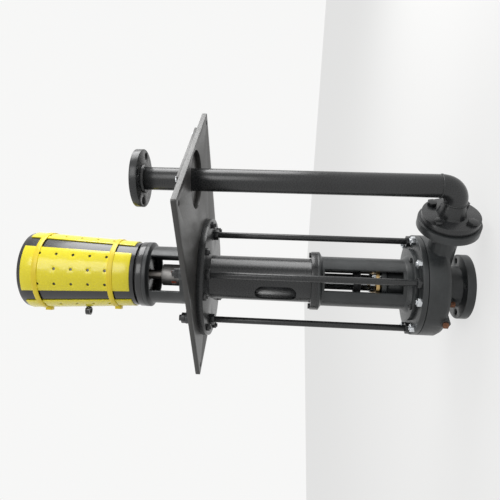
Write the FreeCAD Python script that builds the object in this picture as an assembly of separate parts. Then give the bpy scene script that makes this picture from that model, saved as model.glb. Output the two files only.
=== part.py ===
import FreeCAD, Part
import math
import os

os.makedirs("parts", exist_ok=True)

V = FreeCAD.Vector
ORIGIN = V(0, 0, 0)
UP = V(0, 0, 1)
OUT = V(1, 0, 0)

# Vertical cantilever slurry pump.  The shaft line is the Z axis with the motor on top.
# Z = 0 is the underside of the support plate, where the pump sits on its pit cover.
# +X points from the shaft to the discharge pipe.  All sizes are in millimetres.

# Lengths along the shaft line
COLUMN_LENGTH = 336.5
FRAME_LENGTH = 279.5
CASING_REACH = 143.4
NOZZLE_DROP = 44.0
BRACKET_HEIGHT = 165.3
MOTOR_LENGTH = 368.0

# Clearances and fits
FIT = 0.05
RUN_FIT = 0.1
HOLE_CLEARANCE = 0.75

# Hexagon heads and nuts, by their share of the size across flats
HEAD_SHARE = 0.42
NUT_SHARE = 0.52
STUD_PROUD = 4.0
STUD_SIDES = 8

# Support plate
PLATE_T = 12.7
PLATE_X_LOW = -190.5
PLATE_X_HIGH = 432.0
PLATE_HALF_Y = 228.6
PLATE_CORNER_R = 6.0
PLATE_BOLT_INSET = 22.0
PLATE_BOLT_HOLE_R = 7.15
PIPE_HOLE_CLEARANCE = 1.0

# Removable cover over the pipe hole
PIPE_COVER_T = 6.35
PIPE_COVER_INNER_X = 90.0
PIPE_COVER_HALF_Y = 131.0
PIPE_COVER_INSET = 16.0
PIPE_COVER_PIPE_GAP = 0.8
COVER_SCREW_AF = 13.0

# Column with its head flange and joint flange
HEAD_FLANGE_RIM = 14.0
HEAD_FLANGE_T = 19.0
HEAD_BOLT_GAP = 14.0
HEAD_BOLT_COUNT = 8
HEAD_BOLT_R = 6.35
HEAD_BOLT_AF = 19.0
COLUMN_R = 66.3
COLUMN_WALL = 7.1
SLOT_TOP_DROP = 154.0
SLOT_LENGTH = 124.0
SLOT_WIDTH = 50.0
JOINT_FLANGE_R = 88.0
COLUMN_JOINT_T = 17.0
FRAME_JOINT_T = 7.0
FRAME_JOINT_TAPER = 8.0
JOINT_BOLT_CIRCLE_R = 77.5
JOINT_BOLT_AF = 14.3
CROSS_BOLT_COUNT = 4
CROSS_BOLT_START = 45.0

# Windowed lower frame
FRAME_R = 74.6
FRAME_WALL = 9.0
WINDOW_AZIMUTH = -45.0
WINDOW_HALF_ANGLE = 26.5
WINDOW_TOP_GAP = 21.0
WINDOW_BOTTOM_GAP = 34.0
FOOT_R = 107.0
FOOT_T = 12.0
FOOT_FILLET = 12.0
FOOT_SCREW_CIRCLE_R = 95.0
FOOT_SCREW_COUNT = 4
FOOT_SCREW_AF = 14.3

# Rear cover with its stuffing box
COVER_T = 15.0
SPIGOT_R = 119.5
SPIGOT_T = 5.0
BOX_R = 46.0
BOX_FLANGE_R = 57.0
BOX_FLANGE_T = 14.0
BOX_FLANGE_TAPER = 6.0
BOX_RISE = 92.0
BOX_FOOT_R = 60.0
BOX_FOOT_T = 8.0
PACKING_SECTION = 9.5
RINGS_BELOW_LANTERN = 2
RINGS_ABOVE_LANTERN = 1
LANTERN_T = 15.0
THROAT_GAP = 0.5
GLAND_T = 10.0
GLAND_LIFT = 6.0
GLAND_NOSE = 8.0
GLAND_STUD_CIRCLE_R = 48.0
GLAND_STUD_R = 4.0
GLAND_NUT_AF = 13.0
GLAND_STUD_START = -22.5
GLAND_STUD_COUNT = 4

# Volute casing
CASING_R = 148.5
CASING_BODY_DEPTH = 47.4
CASING_FRONT_DEPTH = 68.4
CASING_FRONT_R = 120.0
CHAMBER_R = 116.0
CHAMBER_DEPTH = 57.4
VOLUTE_START_ANGLE = 20.0
VOLUTE_STEPS = 12
VOLUTE_START_R = 104.0
VOLUTE_END_R = 130.0
VOLUTE_TOP_DEPTH = 26.4
VOLUTE_DEPTH = 22.0
SUCTION_NECK_R = 60.0
SUCTION_NECK_ROOT_R = 70.0
SUCTION_BORE_R = 38.1
SUCTION_FLANGE_R = 95.25
SUCTION_FLANGE_T = 24.0
SUCTION_BOLT_CIRCLE_R = 76.2
FLANGE_HOLE_R = 9.55
NOZZLE_FACE_X = 240.0
NOZZLE_NECK_R = 38.0
NOZZLE_NECK_FILLET = 7.0
NOZZLE_BORE_R = 25.4
NOZZLE_BORE_START_X = 100.0
NOZZLE_FLANGE_R = 83.0
NOZZLE_FLANGE_T = 22.0
CASING_STUD_COUNT = 8
CASING_STUD_CIRCLE_R = 137.0
CASING_STUD_R = 6.35
CASING_NUT_AF = 22.2
WEAR_PLATE_T = 4.0
WEAR_PLATE_GAP = 1.0
GASKET_T = 1.6
PLUG_AZIMUTH = -92.0
DRAIN_DEPTH = 56.0
DRAIN_BOSS_R = 14.0
DRAIN_BOSS_REACH = 150.0
DRAIN_BORE_R = 7.0
PLUG_SQUARE = 13.0
PLUG_HEAD = 10.0
PLUG_SHANK = 14.0
GAUGE_BOSS_DEPTH = 92.0
GAUGE_BOSS_R = 10.0
GAUGE_BOSS_REACH = 70.0

# Tie rods between the motor bracket and the casing
ROD_CIRCLE_R = 130.3
ROD_R = 9.525
ROD_THREAD_DEPTH = 20.0
ROD_TOP_PROUD = 7.0
ROD_NUT_AF = 28.6
ROD_NUT_T = 13.0

# Discharge line
PIPE_R = 30.15
PIPE_WALL = 3.91
ELBOW_BEND_R = 46.0
PIPE_RISE = 159.0
LINE_FLANGE_R = 76.2
LINE_FLANGE_T = 19.0
LINE_BOLT_CIRCLE_R = 60.325
LINE_BOLT_R = 7.9
LINE_BOLT_AF = 23.8
WELD_NECK_LENGTH = 58.4
WELD_NECK_HUB_R = 38.5
OUTLET_HUB_R = 39.0
OUTLET_HUB_T = 6.0

# Bearing cartridge
HOUSING_R = 57.5
HOUSING_FLANGE_R = 78.0
HOUSING_FLANGE_T = 14.0
HOUSING_DEPTH = 128.0
HOUSING_SCREW_CIRCLE_R = 68.0
CAP_T = 8.0
CAP_SCREW_CIRCLE_R = 51.5
SMALL_SCREW_AF = 10.0
FLANGE_SCREW_AF = 13.0
UPPER_BEARING_R = 45.0
UPPER_BEARING_T = 23.0
UPPER_ROLLER_R = 5.5
LOWER_BEARING_R = 40.0
LOWER_BEARING_T = 18.0
LOWER_ROLLER_R = 5.0
ROLLER_COUNT = 10
ROLLER_SIDES = 12
RACE_LIP_T = 3.0
RACE_LIP_RISE = 2.5
SEAL_T = 6.0
SEAL_R = 29.0

# Rotating parts
BEARING_SEAT_R = 20.0
SHAFT_R = 24.0
SLEEVE_SEAT_R = 19.0
SLEEVE_R = 27.0
SLEEVE_PROUD = 12.0
IMPELLER_SEAT_R = 14.0
THREAD_END_R = 10.0
STUB_R = 16.0
STUB_SHOULDER = 4.0
STUB_INSET = 1.0
LOCKNUT_R = 29.0
LOCKNUT_T = 9.0
LOCKNUT_ROOM = 4.0
SLINGER_R = 42.0
SLINGER_T = 6.0
SLINGER_LIFT = 30.0
SLINGER_HUB_WALL = 5.0
SLINGER_HUB_LENGTH = 18.0
IMPELLER_R = 92.0
IMPELLER_SHROUD_T = 8.0
IMPELLER_HUB_R = 26.0
IMPELLER_HUB_T = 24.0
IMPELLER_BACK_GAP = 3.0
VANE_COUNT = 5
VANE_STEPS = 5
VANE_INNER_R = 32.0
VANE_ANGLE = 32.0
VANE_ROOT_LEAD = 16.0
VANE_TIP_LEAD = 9.0
IMPELLER_NUT_R = 17.0
IMPELLER_NUT_T = 20.0
IMPELLER_NUT_CROWN = 6.0
IMPELLER_NUT_TIP = 0.3
IMPELLER_NUT_WAIST = 0.6
IMPELLER_NUT_EDGE = 2.0

# Jaw coupling between pump shaft and motor shaft
COUPLING_R = 33.0
COUPLING_HUB_T = 30.0
JAW_T = 15.0
JAW_COUNT = 3
JAW_ANGLE = 46.0
SPIDER_EYE_R = 12.0
COUPLING_LIFT = 46.0
SHAFT_INSET = 0.5

# Motor bracket
BRACKET_R = 87.5
BRACKET_WALL = 8.0
BRACKET_BASE_R = 150.0
BRACKET_BASE_T = 18.0
BRACKET_BOSS_R = 17.5
BRACKET_BOSS_RISE = 44.3
BRACKET_TOP_T = 12.0
BRACKET_WINDOW_HALF_ANGLE = 38.0
BRACKET_WINDOW_LOW = 54.0
BRACKET_WINDOW_HEIGHT = 92.0
RIB_T = 10.0

# Motor
MOTOR_FLANGE_RIM = 15.5
END_BELL_T = 23.0
BELL_LIP_T = 17.0
BELL_EYE_GAP = 4.0
MOTOR_FRAME_R = 84.0
MOTOR_FRAME_WALL = 6.0
MOTOR_FRAME_LENGTH = 255.0
FIN_COUNT = 12
FIN_INSET = 20.0
FIN_RISE = 7.0
FIN_T = 4.0
FAN_BELL_T = 16.0
STATOR_BORE_R = 50.0
STATOR_LENGTH = 150.0
WINDING_T = 28.0
AIR_GAP = 0.8
MOTOR_SHAFT_R = 14.3
MOTOR_JOURNAL_R = 17.5
MOTOR_BEARING_R = 36.0
MOTOR_RING_SPLIT_R = 26.75
MOTOR_BEARING_T = 16.0
BELL_WEB_T = 3.0
FAN_BELL_WEB_T = 4.0
FAN_TIP_GAP = 20.0
FAN_T = 26.0
FAN_DISC_T = 3.0
FAN_LIFT = 12.0
FAN_STUB = 44.0
FAN_HUB_R = 24.0
FAN_BLADES = 7
COWL_AIR_GAP = 12.2
COWL_FLARE = 19.4
COWL_WALL = 2.5
COWL_SEAT_GAP = 2.0
COWL_RING_T = 4.0
GRILLE_SLOTS = 12
GRILLE_SLOT_W = 6.0
GRILLE_SLOT_LENGTH = 52.0
GRILLE_EYE_R = 34.0

# Perforated jacket round the motor
PANEL_COUNT = 4
PANEL_START = 45.0
PANEL_ANGLE = 69.0
PANEL_T = 3.0
PANEL_SEAT_GAP = 0.3
PANEL_INSET = 11.0
PANEL_HOLE_R = 4.5
PANEL_HOLE_PITCH = 50.0
PANEL_HOLE_COLUMNS = 5
PANEL_HOLE_ROWS = 3
PANEL_HOLE_SIDES = 8
PANEL_ROW_ANGLE = 23.3
PANEL_HOLE_TOP = 61.0
STRAP_W = 15.0
STRAP_T = 2.0
STRAP_UPPER_DROP = 53.0
STRAP_LOWER_DROP = 275.0
BUCKLE_AZIMUTH = -137.0
BUCKLE_LENGTH = 20.0
BUCKLE_T = 6.0
BUCKLE_OVERHANG = 1.5
EYE_AZIMUTH = -135.0
EYE_DROP = 181.0
EYE_LUG_R = 14.0
EYE_LUG_T = 13.0
EYE_HOLE_R = 7.0
EYE_LIFT = 1.5
EYE_SHANK_R = 5.0
EYE_COLLAR_R = 9.0
EYE_COLLAR_T = 4.0

# Stations worked out from the lengths above
z_plate_top = PLATE_T
z_joint = -COLUMN_LENGTH
z_cover_top = z_joint - FRAME_LENGTH
z_cover_low = z_cover_top - COVER_T
z_casing_top = z_cover_low - GASKET_T
z_nozzle = z_casing_top - NOZZLE_DROP
z_suction = z_casing_top - CASING_REACH
z_chamber_low = z_casing_top - CHAMBER_DEPTH
z_box_top = z_cover_top + BOX_RISE
z_gland_low = z_box_top + GLAND_LIFT
z_gland_top = z_gland_low + GLAND_T
z_motor = z_plate_top + BRACKET_HEIGHT
z_cowl_low = z_motor + END_BELL_T + COWL_SEAT_GAP
z_motor_top = z_motor + MOTOR_LENGTH
z_motor_middle = z_motor + END_BELL_T + MOTOR_FRAME_LENGTH / 2
z_drive_bearing = z_motor + BELL_WEB_T
z_fan_bell = z_motor + END_BELL_T + MOTOR_FRAME_LENGTH
z_fan_bearing = z_fan_bell + FAN_BELL_T - FAN_BELL_WEB_T - MOTOR_BEARING_T
z_eye = z_motor_top - EYE_DROP
z_housing_top = z_plate_top + HOUSING_FLANGE_T
z_housing_low = -HOUSING_DEPTH
z_cap_top = z_housing_top + CAP_T + LOCKNUT_T
z_upper_bearing = z_housing_top - UPPER_BEARING_T
z_lower_bearing = z_housing_low
z_spigot = z_casing_top - SPIGOT_T
z_impeller_top = z_spigot - IMPELLER_BACK_GAP
z_impeller_hub_low = z_impeller_top - IMPELLER_HUB_T
z_sleeve_top = z_gland_top + SLEEVE_PROUD
z_coupling = z_plate_top + COUPLING_LIFT
z_jaws = z_coupling + COUPLING_HUB_T
z_stub_low = z_coupling - STUB_SHOULDER
z_stub_top = z_jaws - STUB_INSET
z_boss_top = z_plate_top + BRACKET_BOSS_RISE
head_bolt_circle_r = BRACKET_BASE_R + HEAD_BOLT_GAP
head_flange_r = head_bolt_circle_r + HEAD_FLANGE_RIM
motor_face_r = MOTOR_FRAME_R + MOTOR_FLANGE_RIM
cowl_r_low = MOTOR_FRAME_R + COWL_AIR_GAP
cowl_r_high = cowl_r_low + COWL_FLARE
fan_r = cowl_r_high - FAN_TIP_GAP
pipe_x = NOZZLE_FACE_X + GASKET_T + WELD_NECK_LENGTH + ELBOW_BEND_R
pipe_bore_r = PIPE_R - PIPE_WALL
box_bore_r = SLEEVE_R + RUN_FIT + PACKING_SECTION
z_gland_nose = z_gland_low - GLAND_LIFT - GLAND_NOSE
z_lantern_top = z_gland_nose - RINGS_ABOVE_LANTERN * PACKING_SECTION
z_lantern_low = z_lantern_top - LANTERN_T
packing_bottom = z_lantern_low - RINGS_BELOW_LANTERN * PACKING_SECTION
cross_angles = [CROSS_BOLT_START + 90.0 * k for k in range(CROSS_BOLT_COUNT)]


def save(name, shape):
    """Write one named piece, or a group of like pieces, as a STEP file."""
    shape.exportStep("parts/" + name + ".step")


def group(solids):
    """Several separate solids that share one node."""
    return Part.makeCompound(solids)


def rod(radius, z_low, z_high, x=0.0, y=0.0):
    """An upright round bar."""
    return Part.makeCylinder(radius, z_high - z_low, V(x, y, z_low))


def tube(r_out, r_in, z_low, z_high, x=0.0, y=0.0):
    """An upright round tube or ring."""
    return rod(r_out, z_low, z_high, x, y).cut(rod(r_in, z_low, z_high, x, y))


def turned(profile):
    """A solid of revolution about the shaft line, from its (radius, z) outline."""
    corners = [V(r, 0, z) for r, z in profile]
    corners.append(corners[0])
    return Part.Face(Part.makePolygon(corners)).revolve(ORIGIN, UP, 360)


def round_the_shaft(shape, angle):
    """A copy turned about the shaft line."""
    copy = shape.copy()
    copy.rotate(ORIGIN, UP, angle)
    return copy


def polar(shape, count, start=0.0):
    """Evenly spaced copies about the shaft line, the first at the start angle."""
    return [round_the_shaft(shape, start + 360.0 * k / count) for k in range(count)]


def drilled(shape, cutters):
    """The shape with every cutter taken out."""
    return shape.cut(cutters)


def prism(sides, corner_r, z_low, z_high, x=0.0, y=0.0):
    """An upright bar with flat sides."""
    points = []
    for k in range(sides + 1):
        angle = 2 * math.pi * k / sides
        points.append(V(x + corner_r * math.cos(angle), y + corner_r * math.sin(angle), z_low))
    return Part.Face(Part.makePolygon(points)).extrude(V(0, 0, z_high - z_low))


def hexagon(across_flats, z_low, z_high, x=0.0, y=0.0):
    """An upright hexagonal bar, sized by its spanner."""
    return prism(6, across_flats / math.sqrt(3.0), z_low, z_high, x, y)


def hex_nut(across_flats, bolt_r, z_low, z_high, x=0.0, y=0.0):
    """A hexagon nut on a bolt or stud of the given radius."""
    return hexagon(across_flats, z_low, z_high, x, y).cut(rod(bolt_r + FIT, z_low, z_high, x, y))


def stud_end(across_flats, stud_r, z_seat, x=0.0, y=0.0):
    """What shows of a stud: its hexagon nut on the seat and the few-sided end that stands out of it."""
    nut_top = z_seat + NUT_SHARE * across_flats
    nut = hexagon(across_flats, z_seat, nut_top, x, y)
    return nut.fuse(prism(STUD_SIDES, stud_r, nut_top, nut_top + STUD_PROUD, x, y))


def upside_down(shape, z):
    """A copy turned over about the level z."""
    copy = shape.copy()
    copy.rotate(V(0, 0, z), OUT, 180)
    return copy


def ring_of(shape, angles):
    """A copy of the shape at each of the given angles about the shaft line."""
    return [round_the_shaft(shape, angle) for angle in angles]


def sector(radius, z_low, z_high, middle, width):
    """A pie slice about the shaft line, used to cut windows and panels."""
    slice_ = Part.makeCylinder(radius, z_high - z_low, V(0, 0, z_low), UP, width)
    slice_.rotate(ORIGIN, UP, middle - width / 2.0)
    return slice_


def bolt_circle(radius, circle_r, z_low, z_high, angles):
    """Upright bars at the given angles on a bolt circle, to drill holes with."""
    bars = []
    for angle in angles:
        bars.append(round_the_shaft(rod(radius, z_low, z_high, circle_r), angle))
    return bars


def along_x(shape, x, z):
    """Lay a shape built along +Z over so that it points along +X from (x, 0, z)."""
    laid = shape.copy()
    laid.rotate(ORIGIN, V(0, 1, 0), 90)
    laid.translate(V(x, 0, z))
    return laid


def stud_angles():
    """The casing studs lie half a pitch away from the tie rods."""
    pitch = 360.0 / CASING_STUD_COUNT
    return [CROSS_BOLT_START + pitch / 2.0 + pitch * k for k in range(CASING_STUD_COUNT)]


def head_bolt_angles():
    """The head flange bolts lie half a pitch away from the tie rods."""
    pitch = 360.0 / HEAD_BOLT_COUNT
    return [CROSS_BOLT_START + pitch / 2.0 + pitch * k for k in range(HEAD_BOLT_COUNT)]


def cover_plate_span():
    """Where the pipe cover starts and ends along X."""
    return pipe_x - PIPE_COVER_INNER_X, PLATE_X_HIGH


def cover_screw_places():
    """One screw at each corner of the pipe cover."""
    x_low, x_high = cover_plate_span()
    y = PIPE_COVER_HALF_Y - PIPE_COVER_INSET
    places = []
    for x in (x_low + PIPE_COVER_INSET, x_high - PIPE_COVER_INSET):
        places.append((x, -y))
        places.append((x, y))
    return places


def support_plate():
    length = PLATE_X_HIGH - PLATE_X_LOW
    plate = Part.makeBox(length, 2 * PLATE_HALF_Y, PLATE_T, V(PLATE_X_LOW, -PLATE_HALF_Y, 0))
    upright = [e for e in plate.Edges if abs(e.Vertexes[0].Z - e.Vertexes[-1].Z) > PLATE_T / 2]
    plate = plate.makeFillet(PLATE_CORNER_R, upright)
    cutters = [rod(HOUSING_R + FIT, 0, PLATE_T)]
    cutters.append(rod(LINE_FLANGE_R + PIPE_HOLE_CLEARANCE, 0, PLATE_T, pipe_x))
    for x in (PLATE_X_LOW + PLATE_BOLT_INSET, PLATE_X_HIGH - PLATE_BOLT_INSET):
        for y in (-PLATE_HALF_Y + PLATE_BOLT_INSET, PLATE_HALF_Y - PLATE_BOLT_INSET):
            cutters.append(rod(PLATE_BOLT_HOLE_R, 0, PLATE_T, x, y))
    cutters += bolt_circle(ROD_R + HOLE_CLEARANCE, ROD_CIRCLE_R, 0, PLATE_T, cross_angles)
    return drilled(plate, cutters)


def pipe_cover_plates():
    x_low, x_high = cover_plate_span()
    top = z_plate_top + PIPE_COVER_T
    halves = []
    for x0, x1 in ((x_low, pipe_x - FIT), (pipe_x + FIT, x_high)):
        half = Part.makeBox(x1 - x0, 2 * PIPE_COVER_HALF_Y, PIPE_COVER_T, V(x0, -PIPE_COVER_HALF_Y, z_plate_top))
        halves.append(half.cut(rod(PIPE_R + PIPE_COVER_PIPE_GAP, z_plate_top, top, pipe_x)))
    return group(halves)


def cover_plate_screws():
    seat = z_plate_top + PIPE_COVER_T
    top = seat + HEAD_SHARE * COVER_SCREW_AF
    return group([hexagon(COVER_SCREW_AF, seat, top, x, y) for x, y in cover_screw_places()])


def column_pipe():
    head = tube(head_flange_r, COLUMN_R - COLUMN_WALL, -HEAD_FLANGE_T, 0)
    barrel = tube(COLUMN_R, COLUMN_R - COLUMN_WALL, z_joint, 0)
    joint = tube(JOINT_FLANGE_R, COLUMN_R - COLUMN_WALL, z_joint, z_joint + COLUMN_JOINT_T)
    column = head.fuse([barrel, joint]).removeSplitter()
    slot_top = -SLOT_TOP_DROP
    slot_low = slot_top - SLOT_LENGTH
    half = SLOT_WIDTH / 2.0
    reach = 2 * COLUMN_R + 10.0
    box = Part.makeBox(SLOT_WIDTH, reach, SLOT_LENGTH - SLOT_WIDTH, V(-half, -reach / 2, slot_low + half))
    ends = [Part.makeCylinder(half, reach, V(0, -reach / 2, z), V(0, 1, 0)) for z in (slot_low + half, slot_top - half)]
    cutters = [box.fuse(ends)]
    cutters += bolt_circle(ROD_R + HOLE_CLEARANCE, ROD_CIRCLE_R, -HEAD_FLANGE_T, 0, cross_angles)
    return drilled(column, cutters)


def head_flange_bolts():
    """Heads on the support plate, and nuts with bolt ends under the head flange."""
    head = hexagon(HEAD_BOLT_AF, z_plate_top, z_plate_top + HEAD_SHARE * HEAD_BOLT_AF, head_bolt_circle_r)
    under = upside_down(stud_end(HEAD_BOLT_AF, HEAD_BOLT_R, -HEAD_FLANGE_T, head_bolt_circle_r), -HEAD_FLANGE_T)
    return group(ring_of(head, head_bolt_angles()) + ring_of(under, head_bolt_angles()))


def column_joint_bolts():
    seat = z_joint + COLUMN_JOINT_T
    head = hexagon(JOINT_BOLT_AF, seat, seat + HEAD_SHARE * JOINT_BOLT_AF, JOINT_BOLT_CIRCLE_R)
    return group(ring_of(head, cross_angles))


def lower_frame():
    r_in = FRAME_R - FRAME_WALL
    taper_low = z_joint - FRAME_JOINT_T - FRAME_JOINT_TAPER
    foot_top = z_cover_top + FOOT_T
    outline = [(r_in, z_joint), (JOINT_FLANGE_R, z_joint), (JOINT_FLANGE_R, z_joint - FRAME_JOINT_T)]
    outline += [(FRAME_R, taper_low), (FRAME_R, foot_top + FOOT_FILLET), (FRAME_R + FOOT_FILLET, foot_top)]
    outline += [(FOOT_R, foot_top), (FOOT_R, z_cover_top), (r_in, z_cover_top)]
    body = turned(outline)
    low = z_cover_top + WINDOW_BOTTOM_GAP
    high = z_joint - WINDOW_TOP_GAP
    cutters = []
    for middle in (WINDOW_AZIMUTH, WINDOW_AZIMUTH + 180.0):
        cutters.append(sector(FRAME_R + FOOT_FILLET, low, high, middle, 2 * WINDOW_HALF_ANGLE))
    return drilled(body, cutters)


def frame_foot_screws():
    seat = z_cover_top + FOOT_T
    head = hexagon(FOOT_SCREW_AF, seat, seat + HEAD_SHARE * FOOT_SCREW_AF, FOOT_SCREW_CIRCLE_R)
    return group(polar(head, FOOT_SCREW_COUNT))


def rear_cover():
    """The plate behind the impeller, bored for the stuffing box."""
    outline = [(BOX_R + FIT, z_spigot), (SPIGOT_R, z_spigot), (SPIGOT_R, z_cover_low)]
    outline += [(CASING_R, z_cover_low), (CASING_R, z_cover_top), (BOX_R + FIT, z_cover_top)]
    holes = bolt_circle(ROD_R + FIT, ROD_CIRCLE_R, z_cover_low, z_cover_top, cross_angles)
    return drilled(turned(outline), holes)


def stuffing_box():
    """The barrel that holds the packing: it stands on the rear cover and passes through it."""
    throat_r = SLEEVE_R + THROAT_GAP
    foot_top = z_cover_top + BOX_FOOT_T
    neck_top = z_box_top - BOX_FLANGE_T
    outline = [(throat_r, z_spigot), (BOX_R, z_spigot), (BOX_R, z_cover_top), (BOX_FOOT_R, z_cover_top)]
    outline += [(BOX_FOOT_R, foot_top), (BOX_R, foot_top), (BOX_R, neck_top - BOX_FLANGE_TAPER)]
    outline += [(BOX_FLANGE_R, neck_top), (BOX_FLANGE_R, z_box_top), (box_bore_r, z_box_top)]
    outline += [(box_bore_r, packing_bottom), (throat_r, packing_bottom)]
    return turned(outline)


def packing_rings():
    """Rope packing: some rings under the lantern ring and some over it."""
    starts = [packing_bottom + k * PACKING_SECTION for k in range(RINGS_BELOW_LANTERN)]
    starts += [z_lantern_top + k * PACKING_SECTION for k in range(RINGS_ABOVE_LANTERN)]
    r_out = box_bore_r - FIT
    r_in = SLEEVE_R + RUN_FIT
    return group([tube(r_out, r_in, low + FIT, low + PACKING_SECTION - FIT) for low in starts])


def lantern_ring():
    """A waisted ring that lets flushing water into the middle of the packing."""
    flange = LANTERN_T / 4
    r_out = box_bore_r - FIT
    r_in = SLEEVE_R + RUN_FIT
    waist_r = (box_bore_r + SLEEVE_R) / 2
    outline = [(r_in, z_lantern_low), (r_out, z_lantern_low), (r_out, z_lantern_low + flange)]
    outline += [(waist_r, z_lantern_low + flange), (waist_r, z_lantern_top - flange)]
    outline += [(r_out, z_lantern_top - flange), (r_out, z_lantern_top), (r_in, z_lantern_top)]
    return turned(outline)


def gland_angles():
    return [GLAND_STUD_START + 360.0 * k / GLAND_STUD_COUNT for k in range(GLAND_STUD_COUNT)]


def gland():
    """The follower that presses the packing, with its nose in the stuffing box."""
    r_in = SLEEVE_R + THROAT_GAP
    nose_r = box_bore_r - FIT
    outline = [(r_in, z_gland_nose), (nose_r, z_gland_nose), (nose_r, z_gland_low)]
    outline += [(BOX_FLANGE_R, z_gland_low), (BOX_FLANGE_R, z_gland_top), (r_in, z_gland_top)]
    hole = prism(STUD_SIDES, GLAND_STUD_R + HOLE_CLEARANCE, z_gland_low, z_gland_top, GLAND_STUD_CIRCLE_R)
    return drilled(turned(outline), ring_of(hole, gland_angles()))


def gland_studs():
    """Studs that stand on the stuffing box, pass the gland and carry its nuts."""
    shank = prism(STUD_SIDES, GLAND_STUD_R, z_box_top, z_gland_top, GLAND_STUD_CIRCLE_R)
    stud = shank.fuse(stud_end(GLAND_NUT_AF, GLAND_STUD_R, z_gland_top, GLAND_STUD_CIRCLE_R))
    return group(ring_of(stud.removeSplitter(), gland_angles()))


def volute_pocket():
    """The spiral passage round the chamber, wider towards the nozzle."""
    z_top = z_casing_top - VOLUTE_TOP_DEPTH
    points = []
    for k in range(VOLUTE_STEPS + 1):
        share = k / VOLUTE_STEPS
        angle = math.radians(VOLUTE_START_ANGLE + (360.0 - VOLUTE_START_ANGLE) * share)
        radius = VOLUTE_START_R + (VOLUTE_END_R - VOLUTE_START_R) * share
        points.append(V(radius * math.cos(angle), radius * math.sin(angle), z_top))
    spiral = Part.BSplineCurve()
    spiral.interpolate(points)
    lip = Part.LineSegment(points[-1], points[0]).toShape()
    face = Part.Face(Part.Wire([spiral.toShape(), lip]))
    return face.extrude(V(0, 0, -VOLUTE_DEPTH))


def plug_boss(radius, reach, z):
    """A radial boss that starts inside the wall and ends at its reach."""
    start = reach / 2
    boss = Part.makeCylinder(radius, reach - start, V(start, 0, z), OUT)
    return round_the_shaft(boss, PLUG_AZIMUTH)


def volute_casing():
    body_low = z_casing_top - CASING_BODY_DEPTH
    front = z_casing_top - CASING_FRONT_DEPTH
    flange_back = z_suction + SUCTION_FLANGE_T
    outline = [(0, z_casing_top), (CASING_R, z_casing_top), (CASING_R, body_low)]
    outline += [(CASING_FRONT_R + 0.75 * (CASING_R - CASING_FRONT_R), body_low - 0.6 * (body_low - front))]
    outline += [(CASING_FRONT_R, front), (SUCTION_NECK_ROOT_R, front), (SUCTION_NECK_R, front - 8.0)]
    outline += [(SUCTION_NECK_R, flange_back), (SUCTION_FLANGE_R, flange_back), (SUCTION_FLANGE_R, z_suction)]
    outline += [(0, z_suction)]
    shell = turned(outline)
    neck_start = CASING_FRONT_R * 0.75
    neck = along_x(rod(NOZZLE_NECK_R, neck_start, NOZZLE_FACE_X), 0, z_nozzle)
    flange = along_x(rod(NOZZLE_FLANGE_R, NOZZLE_FACE_X - NOZZLE_FLANGE_T, NOZZLE_FACE_X), 0, z_nozzle)
    z_drain = z_casing_top - DRAIN_DEPTH
    z_gauge = z_casing_top - GAUGE_BOSS_DEPTH
    drain = plug_boss(DRAIN_BOSS_R, DRAIN_BOSS_REACH, z_drain)
    gauge = plug_boss(GAUGE_BOSS_R, GAUGE_BOSS_REACH, z_gauge)
    body = shell.fuse([neck, flange, drain, gauge])
    cutters = [rod(SUCTION_BORE_R, z_suction, z_casing_top)]
    cutters.append(rod(SPIGOT_R + 0.3, z_casing_top - SPIGOT_T - 0.5, z_casing_top))
    cutters.append(rod(CHAMBER_R, z_chamber_low, z_casing_top))
    cutters.append(volute_pocket())
    cutters.append(along_x(rod(NOZZLE_BORE_R, NOZZLE_BORE_START_X, NOZZLE_FACE_X), 0, z_nozzle))
    for angle in cross_angles:
        cutters.append(round_the_shaft(rod(FLANGE_HOLE_R, z_suction, flange_back, SUCTION_BOLT_CIRCLE_R), angle))
        rod_hole = rod(ROD_R + FIT, z_casing_top - ROD_THREAD_DEPTH, z_casing_top, ROD_CIRCLE_R)
        cutters.append(round_the_shaft(rod_hole, angle))
    for boss_reach, z in ((DRAIN_BOSS_REACH, z_drain), (GAUGE_BOSS_REACH, z_gauge)):
        drill = Part.makeCylinder(DRAIN_BORE_R, boss_reach / 2, V(boss_reach / 2, 0, z), OUT)
        cutters.append(round_the_shaft(drill, PLUG_AZIMUTH))
    return drilled(body, cutters).removeSplitter()


def casing_gasket():
    return tube(ROD_CIRCLE_R - ROD_R - HOLE_CLEARANCE, SPIGOT_R + FIT, z_casing_top, z_cover_low)


def casing_nuts():
    """Nuts and stud ends that hold the rear cover on the casing."""
    nut = stud_end(CASING_NUT_AF, CASING_STUD_R, z_cover_top, CASING_STUD_CIRCLE_R)
    return group(ring_of(nut, stud_angles()))


def wear_plate():
    return tube(CHAMBER_R - 0.3, SUCTION_BORE_R + 1.5, z_chamber_low, z_chamber_low + WEAR_PLATE_T)


def square_plug(reach, z):
    """A pipe plug with a square head, screwed into its radial boss."""
    shank = Part.makeCylinder(DRAIN_BORE_R - FIT, PLUG_SHANK, V(reach - PLUG_SHANK, 0, z), OUT)
    half = PLUG_SQUARE / 2.0
    head = Part.makeBox(PLUG_HEAD, PLUG_SQUARE, PLUG_SQUARE, V(reach, -half, z - half))
    return round_the_shaft(shank.fuse(head), PLUG_AZIMUTH)


def drain_plugs():
    drain = square_plug(DRAIN_BOSS_REACH, z_casing_top - DRAIN_DEPTH)
    gauge = square_plug(GAUGE_BOSS_REACH, z_casing_top - GAUGE_BOSS_DEPTH)
    return group([drain, gauge])


def tie_rods():
    low = z_casing_top - ROD_THREAD_DEPTH
    high = z_boss_top + ROD_NUT_T + ROD_TOP_PROUD
    return group(bolt_circle(ROD_R, ROD_CIRCLE_R, low, high, cross_angles))


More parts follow.
